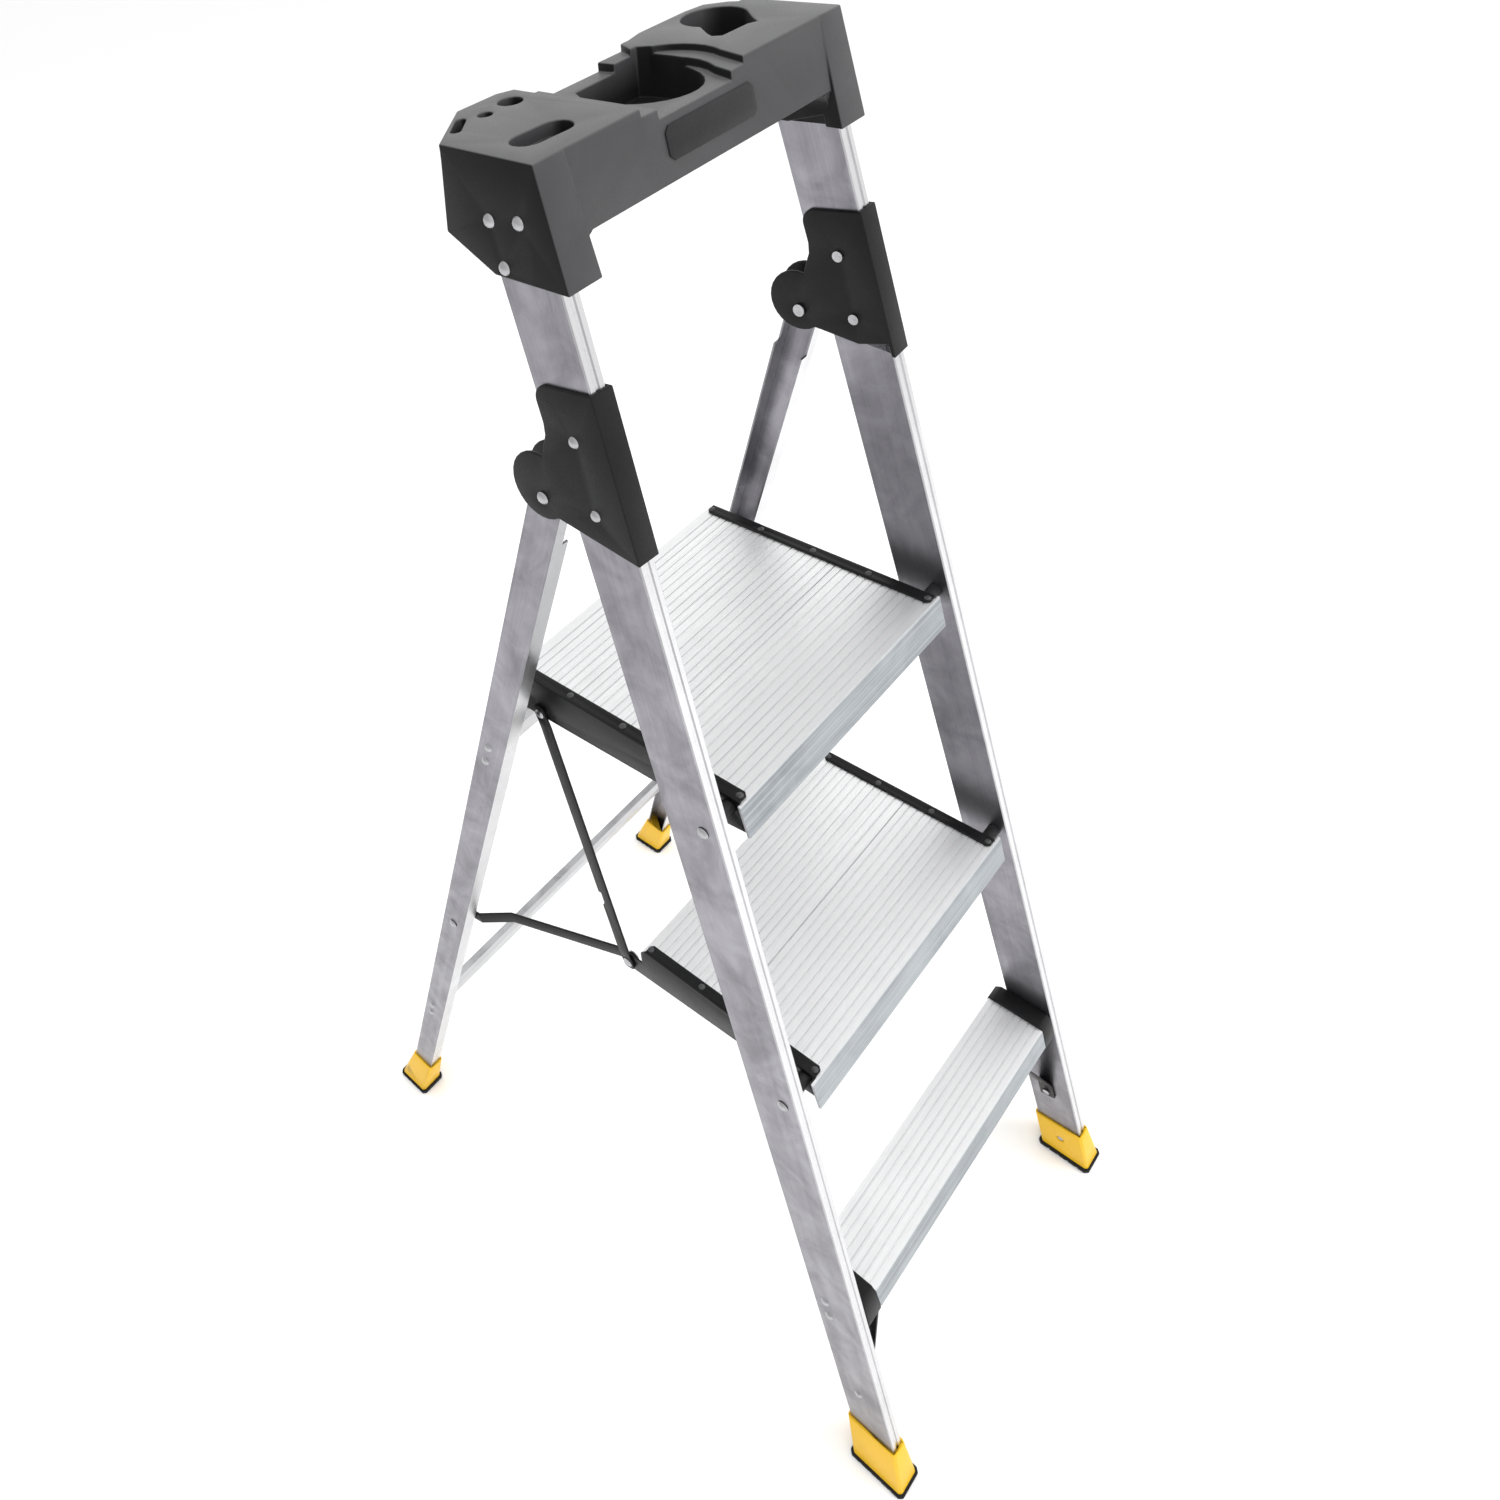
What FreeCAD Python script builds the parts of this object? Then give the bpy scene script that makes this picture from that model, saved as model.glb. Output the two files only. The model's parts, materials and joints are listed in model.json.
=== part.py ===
# Three-step platform ladder with a moulded tool tray on top.
# Millimetres, +Z up, X across the ladder, the climber stands on the -Y side.
# The front frame carries the treads; the rear frame swings on two hinge pins.
import FreeCAD, Part
import Sketcher
import math
import os
from FreeCAD import Vector as V

os.makedirs("parts", exist_ok=True)
doc = FreeCAD.newDocument("step_ladder")
sheet = doc.addObject("Spreadsheet::Sheet", "Dims")

SIZES = [
    ("StepRise", 305.0), ("BottomStep", 302.0),
    ("FrontLean", 15.5), ("FrontSplay", 3.25), ("FrontHalf", 233.0), ("FrontFace", -397.0),
    ("RailDepth", 52.5), ("RailWidth", 15.0), ("RailWall", 1.6), ("RailFoot", 25.0), ("RailTop", 1432.0),
    ("RearLean", 17.6), ("RearSplay", 5.68), ("RearHalf", 279.5), ("RearFace", 357.3),
    ("LegDepth", 30.7), ("LegWidth", 17.5), ("LegWall", 1.8), ("LegFoot", 22.0),
    ("HingeHeight", 1162.0), ("HingePlate", 3.0), ("HingeEar", 27.0),
    ("PivotInset", 14.7), ("PivotDrop", 9.0), ("PivotPin", 4.0), ("RunFit", 0.06),
    ("LinkReach", 211.0), ("LinkDrop", 28.0), ("StrutWidth", 14.0), ("StrapGauge", 2.5),
    ("UpperDepth", 257.0), ("UpperHalf", 148.0), ("LowerDepth", 206.0), ("LowerHalf", 164.2),
    ("DeckGauge", 2.4), ("SkirtDepth", 20.0), ("NoseDepth", 31.0), ("RibPitch", 8.4), ("RibDepth", 0.5),
    ("NoseUpper", 150.8), ("NoseLower", 171.0),
    ("BracketGauge", 2.0), ("BracketFlange", 12.0), ("StepDepth", 66.0), ("StepHalf", 179.0),
    ("StepNose", 27.5), ("BraceTall", 34.0), ("BraceDeep", 14.0), ("BraceInset", 14.4), ("LowerBrace", 248.5),
    ("UpperBrace", 836.5), ("TiePivot", 504.0), ("SoleGauge", 6.0), ("CapTop", 1400.0),
    ("CapWall", 4.0), ("RivetShank", 2.4), ("ScrewShank", 1.7),
]
for row, (alias, size) in enumerate(SIZES, start=1):
    sheet.set("A%d" % row, alias)
    sheet.set("B%d" % row, str(size))
    sheet.setAlias("B%d" % row, alias)
doc.recompute()


def dim(alias):
    return float(sheet.get(alias))


SIDES = ((-1, "left"), (1, "right"))
X, Y, Z = V(1, 0, 0), V(0, 1, 0), V(0, 0, 1)
GAUGE = dim("StrapGauge")
SLOPE = math.tan(math.radians(dim("FrontLean")))


# ---- frames -------------------------------------------------------------
def basis(origin, ex, ey, ez):
    return FreeCAD.Placement(FreeCAD.Matrix(
        ex.x, ey.x, ez.x, origin.x,
        ex.y, ey.y, ez.y, origin.y,
        ex.z, ey.z, ez.z, origin.z, 0, 0, 0, 1))


def flat(z=0.0):
    """Level plane at height z."""
    return basis(V(0, 0, z), X, Y, Z)


def upright(x=0.0):
    """Plane across the ladder: drawing x runs along Y, drawing y up, normal along X."""
    return basis(V(x, 0, 0), Y, Z, X)


def facing(y=0.0):
    """Plane seen from the front: drawing x runs along X, drawing y up, normal along -Y."""
    return basis(V(0, y, 0), X, Z, V(0, -1, 0))


def leaning(half, face, splay, lean):
    """Frame of a leaning post: x across, y through its depth, z along it."""
    ez = V(-half * math.tan(math.radians(splay)), math.tan(math.radians(lean)), 1).normalize()
    ex = (X - ez * ez.x).normalize()
    return basis(V(0, face, 0) + X * 0.0, ex, ez.cross(ex), ez)


def post(side, half, face, splay, lean):
    frame = leaning(side, face, splay, lean)
    frame.Base = V(side * half, face, 0)
    return frame


RAIL = {s: post(s, dim("FrontHalf"), dim("FrontFace"), dim("FrontSplay"), dim("FrontLean")) for s, _ in SIDES}
LEG = {s: post(s, dim("RearHalf"), dim("RearFace"), dim("RearSplay"), -dim("RearLean")) for s, _ in SIDES}
FRONT_PLANE = leaning(0, dim("FrontFace"), 0, dim("FrontLean"))
REAR_PLANE = leaning(0, dim("RearFace"), 0, -dim("RearLean"))


def front_y(z):
    """Y of the front faces of the rails at height z."""
    return dim("FrontFace") + SLOPE * z


def local(frame, point):
    return frame.inverse().multVec(point)


# ---- feature helpers ------------------------------------------------------
def new_body(label, placement=None):
    body = doc.addObject("PartDesign::Body", label)
    body.Label = label
    if placement is not None:
        body.Placement = placement
    return body


def draw(body, frame, loops, name):
    """Closed outlines on a plane; a loop is a point list or a (centre x, centre y, radius) circle."""
    sketch = body.newObject("Sketcher::SketchObject", body.Label + "_" + name)
    plane = [f for f in body.Origin.OriginFeatures if f.Role == "XY_Plane"][0]
    sketch.AttachmentSupport = [(plane, "")]
    sketch.MapMode = "FlatFace"
    sketch.AttachmentOffset = body.Placement.inverse().multiply(frame)
    for loop in loops:
        if isinstance(loop, tuple):
            sketch.addGeometry(Part.Circle(V(loop[0], loop[1], 0), Z, loop[2]), False)
            continue
        first = sketch.GeometryCount
        for a, b in zip(loop, loop[1:] + loop[:1]):
            sketch.addGeometry(Part.LineSegment(V(a[0], a[1], 0), V(b[0], b[1], 0)), False)
        count = len(loop)
        joins = []
        for i in range(count):
            joins.append(Sketcher.Constraint("Coincident", first + i, 2, first + (i + 1) % count, 1))
        sketch.addConstraint(joins)
    return sketch


def set_length(feature, length):
    if isinstance(length, str):
        feature.setExpression("Length", length)
    else:
        feature.Length = length


def pad(body, frame, loops, length, name, both=False):
    feature = body.newObject("PartDesign::Pad", body.Label + "_" + name)
    feature.Profile = draw(body, frame, loops, name + "_outline")
    feature.SideType = "Symmetric" if both else "One side"
    set_length(feature, length)
    doc.recompute()
    return feature


def pocket(body, frame, loops, length, name, both=True):
    """Cut; a one-sided cut goes against the plane's normal. The volume must drop."""
    before = body.Shape.Volume
    feature = body.newObject("PartDesign::Pocket", body.Label + "_" + name)
    feature.Profile = draw(body, frame, loops, name + "_outline")
    feature.SideType = "Symmetric" if both else "One side"
    set_length(feature, length)
    doc.recompute()
    if body.Shape.Volume > before - 0.01:
        raise RuntimeError("cut %s of %s removed nothing" % (name, body.Label))
    return feature


def round_edges(body, radius, name, wanted):
    """Fillet the edges of the current shape that the test picks."""
    tip = body.Tip
    names = ["Edge%d" % (i + 1) for i, e in enumerate(tip.Shape.Edges) if wanted(e)]
    if not names:
        raise RuntimeError("no edge to round on " + body.Label)
    feature = body.newObject("PartDesign::Fillet", body.Label + "_" + name)
    feature.Base = (tip, names)
    feature.Radius = radius
    doc.recompute()
    return feature


def rect(x0, x1, y0, y1):
    return [(min(x0, x1), min(y0, y1)), (max(x0, x1), min(y0, y1)),
            (max(x0, x1), max(y0, y1)), (min(x0, x1), max(y0, y1))]


def soft_rect(x0, x1, y0, y1, c):
    """Rectangle with its four corners cut by c."""
    x0, x1 = min(x0, x1), max(x0, x1)
    return [(x0 + c, y0), (x1 - c, y0), (x1, y0 + c), (x1, y1 - c),
            (x1 - c, y1), (x0 + c, y1), (x0, y1 - c), (x0, y0 + c)]


def arc_points(cx, cy, r, a0, a1, steps):
    turns = [math.radians(a0 + (a1 - a0) * i / steps) for i in range(steps + 1)]
    return [(cx + r * math.cos(a), cy + r * math.sin(a)) for a in turns]


def slot(cx, cy, length, width, angle):
    """Round-ended slot outline turned by angle."""
    half = (length - width) / 2.0
    ends = arc_points(half, 0, width / 2.0, -90, 90, 8) + arc_points(-half, 0, width / 2.0, 90, 270, 8)
    c, s = math.cos(math.radians(angle)), math.sin(math.radians(angle))
    return [(cx + c * x - s * y, cy + s * x + c * y) for x, y in ends]


def rivet(point, outward, shank, grip, head, rise, tail=0.0, tail_rise=0.0):
    """Domed rivet: seat of the head at point, dome towards outward, shank the other way."""
    corners = [V(shank, 0, 0), V(shank, 0, -grip)]
    if tail:
        corners += [V(tail, 0, -grip), V(tail, 0, -grip - tail_rise)]
    bottom = corners[-1].z
    lines = [Part.LineSegment(a, b) for a, b in zip(corners, corners[1:])]
    lines.append(Part.LineSegment(corners[-1], V(0, 0, bottom)))
    lines.append(Part.LineSegment(V(0, 0, bottom), V(0, 0, rise)))
    lines.append(Part.Arc(V(0, 0, rise), V(head * 0.76, 0, rise * 0.56), V(head, 0, 0)))
    lines.append(Part.LineSegment(V(head, 0, 0), corners[0]))
    face = Part.Face(Part.Wire(Part.__sortEdges__([g.toShape() for g in lines])))
    solid = face.revolve(V(0, 0, 0), Z, 360)
    if not solid.isValid() or solid.Volume < 0:
        solid = Part.Solid(solid.Shells[0])
        solid = solid if solid.Volume > 0 else solid.reversed()
    solid.Placement = FreeCAD.Placement(point, FreeCAD.Rotation(Z, outward))
    return solid


def group(label, solids):
    """Identical fasteners kept as separate solids under one name."""
    item = doc.addObject("Part::Feature", label)
    item.Label = label
    item.Shape = Part.makeCompound(solids)
    item.Placement = FreeCAD.Placement()
    return item


# ---- key points -----------------------------------------------------------
STEP_Z = dim("BottomStep")
LOWER_Z = STEP_Z + dim("StepRise")
UPPER_Z = LOWER_Z + dim("StepRise")


def tread_pivot(tread):
    z = tread - dim("PivotDrop")
    return V(0, front_y(z) + dim("PivotInset") / math.cos(math.radians(dim("FrontLean"))), z)


LINK = V(0, dim("LinkReach"), -dim("LinkDrop"))
UPPER_PIVOT = tread_pivot(UPPER_Z)
LOWER_PIVOT = tread_pivot(LOWER_Z)
STRUT_TOP = UPPER_PIVOT + LINK
STRUT_FOOT = LOWER_PIVOT + LINK


def leg_mid(z):
    """Point on the middle line of the rear legs at height z, in the YZ plane."""
    lean = math.radians(dim("RearLean"))
    return V(0, dim("RearFace") - math.tan(lean) * z + dim("LegDepth") / 2 / math.cos(lean), z)


HINGE = leg_mid(dim("HingeHeight"))
TIE = leg_mid(dim("TiePivot"))


def on_rail(side, depth, along, out=0.0):
    """Point on the outer face of a rail; out is measured away from the ladder."""
    return RAIL[side].multVec(V(side * out, depth, along))


def on_leg(side, depth, along, out=0.0):
    return LEG[side].multVec(V(side * out, depth, along))


def across(frame, side):
    """Unit vector pointing away from the ladder, square to the face of a post."""
    return frame.Rotation.multVec(X) * side


MID_RAIL = dim("RailDepth") / 2
PIN = dim("PivotPin")
FIT_HOLE = PIN + dim("RunFit")
SHANK = dim("RivetShank")
RAIL_IN = dim("RailWidth")
HINGE_RIVETS = ((MID_RAIL, 1275.0), (MID_RAIL, 1220.0))
CAP_RIVETS = ((42.0, 1424.0), (16.0, 1420.0), (41.0, 1394.0))
STEP_RIVETS = ((38.5, 282.0), (38.5, 306.0))
KNEE_RIVET = (29.5, 148.5)
SHOE_RIVET = (MID_RAIL, 47.0)
BIG_SHANK = 3.0


# ---- front rails ----------------------------------------------------------
def rail_section(side):
    w, d, g = side * dim("RailWidth"), dim("RailDepth"), 1.0
    mid = w / 2
    outer = [(0, g), (-side * g, 0), (-mid + side * 2.2, 0), (-mid + side * 1.2, g), (-mid - side * 1.2, g),
             (-mid - side * 2.2, 0), (-w + side * g, 0), (-w, g), (-w, d - g), (-w + side * g, d),
             (-side * g, d), (0, d - g)]
    t = dim("RailWall")
    return [outer, rect(-side * t, -w + side * t, t + g, d - t)]


for side, tag in SIDES:
    frame = RAIL[side]
    body = new_body("front_rail_" + tag, frame)
    pad(body, frame.multiply(flat(dim("RailFoot"))), rail_section(side), "Dims.RailTop - Dims.RailFoot", "tube")
    small = [(d, z, SHANK) for d, z in STEP_RIVETS + (KNEE_RIVET, SHOE_RIVET)]
    large = [(d, z, BIG_SHANK) for d, z in HINGE_RIVETS + CAP_RIVETS]
    pocket(body, frame.multiply(upright()), small + large, 60, "rivet_holes")
    pins = [(p.y, p.z, FIT_HOLE) for p in (UPPER_PIVOT, LOWER_PIVOT)]
    pocket(body, upright(side * 200.0), pins, 120, "pivot_holes")


# ---- hinge brackets -------------------------------------------------------
def hinge_outline(frame):
    """Heart-like plate: a block over the rail and a round ear about the hinge pin."""
    ear = local(frame, HINGE)
    r = dim("HingeEar")
    t = dim("HingePlate")
    d = dim("RailDepth")
    ring = arc_points(ear.y, ear.z, r, -112, 118, 18)
    top = [(d + 5.5, ear.z + 34), (d + 1.0, ear.z + 41), (d - 1.0, ear.z + 50), (d - 1.0, ear.z + 66)]
    top += arc_points(d - 12.0, ear.z + 66, 11.0, 10, 90, 5)
    return [(-t, 1184.0)] + ring + top + [(-t, ear.z + 70)]


for side, tag in SIDES:
    frame = RAIL[side]
    t = dim("HingePlate")
    body = new_body("hinge_bracket_" + tag, frame)
    start = t if side > 0 else RAIL_IN + t
    pad(body, frame.multiply(upright(start - RAIL_IN - 2 * t)), [hinge_outline(frame)],
        "Dims.RailWidth + 2 * Dims.HingePlate", "block")
    pocket(body, frame.multiply(flat(1240.0)), [rect(0, -side * RAIL_IN, 0, 160)], 400, "channel")
    inner = side * -(RAIL_IN + t / 2)
    relief = rect(0.2, dim("RailDepth") + 2, 1150, 1197)
    pocket(body, frame.multiply(upright(inner)), [relief], t + 0.6, "inner_relief")
    pocket(body, frame.multiply(upright()), [(d, z, BIG_SHANK) for d, z in HINGE_RIVETS], 60, "rivet_holes")
    pocket(body, upright(side * 160.0), [(HINGE.y, HINGE.z, FIT_HOLE)], 80, "pin_hole")

group("hinge_bracket_rivets", [
    rivet(on_rail(s, d, z, dim("HingePlate")), across(RAIL[s], s), BIG_SHANK,
          RAIL_IN + 2 * dim("HingePlate"), 4.5, 2.4, 4.6, 1.6)
    for s, _ in SIDES for d, z in HINGE_RIVETS])


def cross_pin(side, centre, outer, inner, head, rise, tail, tail_rise, shank=PIN):
    """Pin lying along X: outer and inner are the seat distances from the middle plane."""
    return rivet(V(side * outer, centre.y, centre.z), X * side, shank, outer - inner, head, rise, tail, tail_rise)


def x_of(frame, side, out, y, z):
    """Distance from the middle plane of a post face at the given y and z."""
    base = frame.multVec(V(side * out, 0, 0))
    normal = frame.Rotation.multVec(X)
    return side * (base.x - (normal.y * (y - base.y) + normal.z * (z - base.z)) / normal.x)


HINGE_OUT = x_of(RAIL[1], 1, dim("HingePlate"), HINGE.y, HINGE.z) + 0.5
HINGE_IN = x_of(RAIL[1], 1, -RAIL_IN - dim("HingePlate"), HINGE.y, HINGE.z) - 0.5
group("hinge_pins", [cross_pin(s, HINGE, HINGE_OUT, HINGE_IN, 5.2, 2.6, 5.4, 1.8) for s, _ in SIDES])

# ---- rear legs ------------------------------------------------------------
BRACE_HOLES = []
for centre in (dim("LowerBrace"), dim("UpperBrace")):
    for step in (-11.0, 11.0):
        BRACE_HOLES.append((dim("BraceInset") + 5.0, centre / math.cos(math.radians(dim("RearLean"))) + step))

for side, tag in SIDES:
    frame = LEG[side]
    w, d, t = dim("LegWidth"), dim("LegDepth"), dim("LegWall")
    top = local(frame, V(side * 160, HINGE.y, HINGE.z)).z + 15.0
    section = [(0, 0), (-side * w, 0), (-side * w, t), (-side * t, t), (-side * t, d - t),
               (-side * w, d - t), (-side * w, d), (0, d)]
    body = new_body("rear_leg_" + tag, frame)
    pad(body, frame.multiply(flat(dim("LegFoot"))), [section], top - dim("LegFoot"), "channel")
    pocket(body, frame.multiply(upright(-side * (w + 11.0) / 2)), [rect(-5, d + 5, top - 62, top + 5)],
           w - 11.0 + 0.2, "lip_relief")
    pocket(body, frame.multiply(upright()), [(y, z, SHANK) for y, z in BRACE_HOLES] + [(d / 2, 40.0, SHANK)],
           30, "rivet_holes")
    pocket(body, upright(side * 160.0), [(HINGE.y, HINGE.z, FIT_HOLE)], 60, "hinge_hole")
    pocket(body, upright(side * 232.0), [(TIE.y, TIE.z, PIN)], 40, "tie_hole")

# ---- rear cross braces ----------------------------------------------------
for label, height in (("lower_cross_brace", dim("LowerBrace")), ("upper_cross_brace", dim("UpperBrace"))):
    along = height / math.cos(math.radians(dim("RearLean")))
    tall, deep = dim("BraceTall"), dim("BraceDeep")
    y0 = dim("BraceInset")
    crown = REAR_PLANE.multVec(V(0, y0, along + tall / 2))
    half = x_of(LEG[1], 1, -dim("LegWall"), crown.y, crown.z) - 0.4
    body = new_body(label)
    plane = REAR_PLANE.multiply(upright())
    outline = soft_rect(y0, y0 + deep, along - tall / 2, along + tall / 2, 1.5)
    outline[6:8] = [(y0 + 5.0, along + tall / 2), (y0, along + tall / 2 - 5.0)]
    hollow = soft_rect(y0 + 2, y0 + deep - 2, along - 5.5, along + 5.5, 0.8)
    pad(body, plane, [outline, hollow], 2 * half, "beam", both=True)
    pocket(body, REAR_PLANE.multiply(facing(y0)), [rect(-half + 40, half - 40, along - 1.5, along + 1.5)], 1.2,
           "groove")
    for side, tag in SIDES:
        holes = [(y, z, SHANK) for y, z in BRACE_HOLES if abs(z - along) < 30]
        pocket(body, LEG[side].multiply(upright(-side * 12.0)), holes, 24, "rivet_holes_" + tag)

for label, height in (("lower_brace_rivets", dim("LowerBrace")), ("upper_brace_rivets", dim("UpperBrace"))):
    along = height / math.cos(math.radians(dim("RearLean")))
    group(label, [rivet(on_leg(s, y, z), across(LEG[s], s), SHANK, 17.0, 4.6, 2.2)
                  for s, _ in SIDES for y, z in BRACE_HOLES if abs(z - along) < 30])


# ---- shoes and soles ------------------------------------------------------
def shoe(label, frame, side, width, depth, foot, base, height, tilt):
    """Tapered boot around the end of a post, with a socket that stops under the post."""
    body = new_body(label)
    low = draw(body, flat(dim("SoleGauge")), [soft_rect(base[0], base[1], base[2], base[3], 3.0)], "low")
    lift = frame.multiply(basis(V(0, 0, height), X, V(0, math.cos(tilt), math.sin(tilt)),
                                V(0, -math.sin(tilt), math.cos(tilt))))
    wall = 3.2
    reach = depth / math.cos(tilt)
    high = draw(body, lift, [soft_rect(side * wall, -side * (width + wall), -wall, reach + wall, 3.0)], "high")
    loft = body.newObject("PartDesign::AdditiveLoft", label + "_loft")
    loft.Profile = low
    loft.Sections = [high]
    loft.Ruled = True
    doc.recompute()
    pocket(body, frame.multiply(flat(foot + 75.0)), [rect(0, -side * width, 0, depth)], 75.0, "socket", both=False)
    return body


def drill_shoe(body, frame, side, width, depth):
    """Hole and sunk seat for the rivet on the inner face of a shoe."""
    seat = frame.multiply(upright(-side * (width + 13.2)))
    pocket(body, seat, [(depth / 2, SHOE_RIVET[1], 4.4)], 20, "rivet_seat")
    hole = frame.multiply(upright(-side * width))
    pocket(body, hole, [(depth / 2, SHOE_RIVET[1], SHANK)], 12, "rivet_hole")


def sole(label, base, grow):
    x0, x1, y0, y1 = min(base[0], base[1]), max(base[0], base[1]), base[2], base[3]
    body = new_body(label)
    pad(body, flat(), [soft_rect(x0 - grow, x1 + grow, y0 - grow, y1 + grow, 4.0)], "Dims.SoleGauge", "pad")
    pitch = (y1 - y0) / 5.0
    grooves = [rect(x0 - 9, x1 + 9, y0 + pitch * i - 1.2, y0 + pitch * i + 1.2) for i in range(1, 5)]
    pocket(body, flat(), grooves, 3.0, "tread_grooves")
    return body


for side, tag in SIDES:
    base = (side * 243.5, side * 210.5, -399.5, -338.5)
    boot = shoe("front_shoe_" + tag, RAIL[side], side, dim("RailWidth"), dim("RailDepth"), dim("RailFoot"),
                base, 70.0, 0.2)
    drill_shoe(boot, RAIL[side], side, dim("RailWidth"), dim("RailDepth"))
    sole("front_sole_" + tag, base, 2.5)
    base = (side * 289.5, side * 255.5, 350.5, 399.0)
    shoe("rear_shoe_" + tag, LEG[side], side, dim("LegWidth"), dim("LegDepth"), dim("LegFoot"), base,
         78.0, -0.2)
    sole("rear_sole_" + tag, base, 2.5)


def shoe_rivet(frame, side, width, depth):
    point = frame.multVec(V(-side * (width + 3.2), depth / 2, SHOE_RIVET[1]))
    return rivet(point, across(frame, side) * -1, SHANK, 4.6, 4.0, 1.8)


group("front_shoe_rivets", [shoe_rivet(RAIL[s], s, RAIL_IN, dim("RailDepth")) for s, _ in SIDES])


# ---- treads ---------------------------------------------------------------
def deck_top(y0, y1, z):
    """Ribbed walking surface from y0 back to y1, as outline points."""
    count = int((y1 - y0 - 6.0) / dim("RibPitch"))
    start = (y0 + y1 - (count - 1) * dim("RibPitch")) / 2
    points = []
    for i in range(count):
        c = start + i * dim("RibPitch")
        points += [(c - 0.9, z), (c - 0.5, z - dim("RibDepth")), (c + 0.5, z - dim("RibDepth")), (c + 0.9, z)]
    return points


def tread_outline(y0, y1, z, nose, skirt):
    """Channel section; nose is the depth of the sloping front face, or 0 for a plain front skirt."""
    g = dim("DeckGauge")
    under = z - g
    front = nose if nose else skirt
    lean = SLOPE if nose else 0.0
    points = [(y0, z - 1.0), (y0 + 1.0, z)] + deck_top(y0, y1, z) + [(y1, z), (y1, z - skirt)]
    points += [(y1 - 7, z - skirt), (y1 - 7, z - skirt + 1.8), (y1 - g, z - skirt + 1.8), (y1 - g, under)]
    points += [(y0 + g, under), (y0 + g - lean * (front - g - 1.8), z - front + 1.8)]
    points += [(y0 + 9 - lean * front, z - front + 1.8), (y0 + 9 - lean * front, z - front)]
    points += [(y0 - lean * front, z - front)]
    return points


def plank(label, y0, y1, z, nose, half, screws, nose_half=0.0):
    """Plank of a platform; its nosing may run on in front of the side brackets, out to nose_half."""
    body = new_body(label)
    pad(body, upright(), [tread_outline(y0, y1, z, nose, dim("SkirtDepth"))], 2 * half, "extrusion", both=True)
    if nose_half:
        g = dim("DeckGauge")
        drop = SLOPE * nose
        wall = [(y0, z - 1.0), (y0 + 1.0, z), (y0 + g, z), (y0 + g - drop, z - nose), (y0 - drop, z - nose)]
        pad(body, upright(), [wall], 2 * nose_half, "nosing", both=True)
    holes = [(s * sx, sy, dim("ScrewShank")) for s, _ in SIDES for sx, sy in screws if y0 < sy < y1]
    pocket(body, flat(z), holes, 12, "screw_holes")
    return body


def bracket(label, side, half, outline, top, y0, y1, screws, holes):
    """Black side bracket: deep upright plate with a flange lying on the planks."""
    t = dim("BracketGauge")
    body = new_body(label)
    pad(body, upright(side * (half - t / 2)), [outline], "Dims.BracketGauge", "plate", both=True)
    x_out, x_in = side * half, side * (half - dim("BracketFlange"))
    cut = side * -3.0
    flange = [(x_out, y0), (x_in - cut, y0), (x_in, y0 + 3), (x_in, y1 - 3), (x_in - cut, y1), (x_out, y1)]
    pad(body, flat(top), [flange], "Dims.BracketGauge", "flange")
    pocket(body, flat(top), [(side * sx, sy, dim("ScrewShank")) for sx, sy in screws], 10, "screw_holes")
    pocket(body, upright(side * half), holes, 12, "pin_holes")
    return body


def screw_row(y0, y1, count, half):
    gap = (y1 - y0) / (count - 1)
    return [(half - 6.5, y0 + gap * i) for i in range(count)]


# Upper platform: three planks between two brackets.
UPPER_FRONT = front_y(UPPER_Z)
UPPER_REAR = UPPER_FRONT + dim("UpperDepth")
UPPER_JOINTS = (UPPER_FRONT + 98.5, UPPER_FRONT + 147.0)
PLANK_GAP = 0.4
HALF_U = dim("UpperHalf")
UPPER_SCREWS = screw_row(UPPER_FRONT + 7.0, UPPER_REAR - 9.0, 5, HALF_U)
inside = HALF_U - dim("BracketGauge")
plank("upper_plank_front", UPPER_FRONT, UPPER_JOINTS[0], UPPER_Z, dim("NoseDepth"), inside, UPPER_SCREWS,
      dim("NoseUpper"))
plank("upper_plank_middle", UPPER_JOINTS[0] + PLANK_GAP, UPPER_JOINTS[1], UPPER_Z, 0, inside, UPPER_SCREWS)
plank("upper_plank_rear", UPPER_JOINTS[1] + PLANK_GAP, UPPER_REAR - 3.0, UPPER_Z, 0, inside, UPPER_SCREWS)

STRUT_HOLE = 3.5
for side, tag in SIDES:
    low = UPPER_Z - dim("NoseDepth")
    outline = [(front_y(UPPER_Z) + 3.3, UPPER_Z + 2), (front_y(low) + 3.3, low), (UPPER_FRONT + 16, low - 3),
               (UPPER_REAR - 5, UPPER_Z - 44.5), (UPPER_REAR, UPPER_Z - 39), (UPPER_REAR, UPPER_Z - 5),
               (UPPER_REAR - 6, UPPER_Z + 2)]
    pins = [(UPPER_PIVOT.y, UPPER_PIVOT.z, FIT_HOLE), (STRUT_TOP.y, STRUT_TOP.z, STRUT_HOLE)]
    bracket("upper_bracket_" + tag, side, HALF_U, outline, UPPER_Z, UPPER_FRONT + 2.8, UPPER_REAR - 6,
            UPPER_SCREWS, pins)

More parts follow.
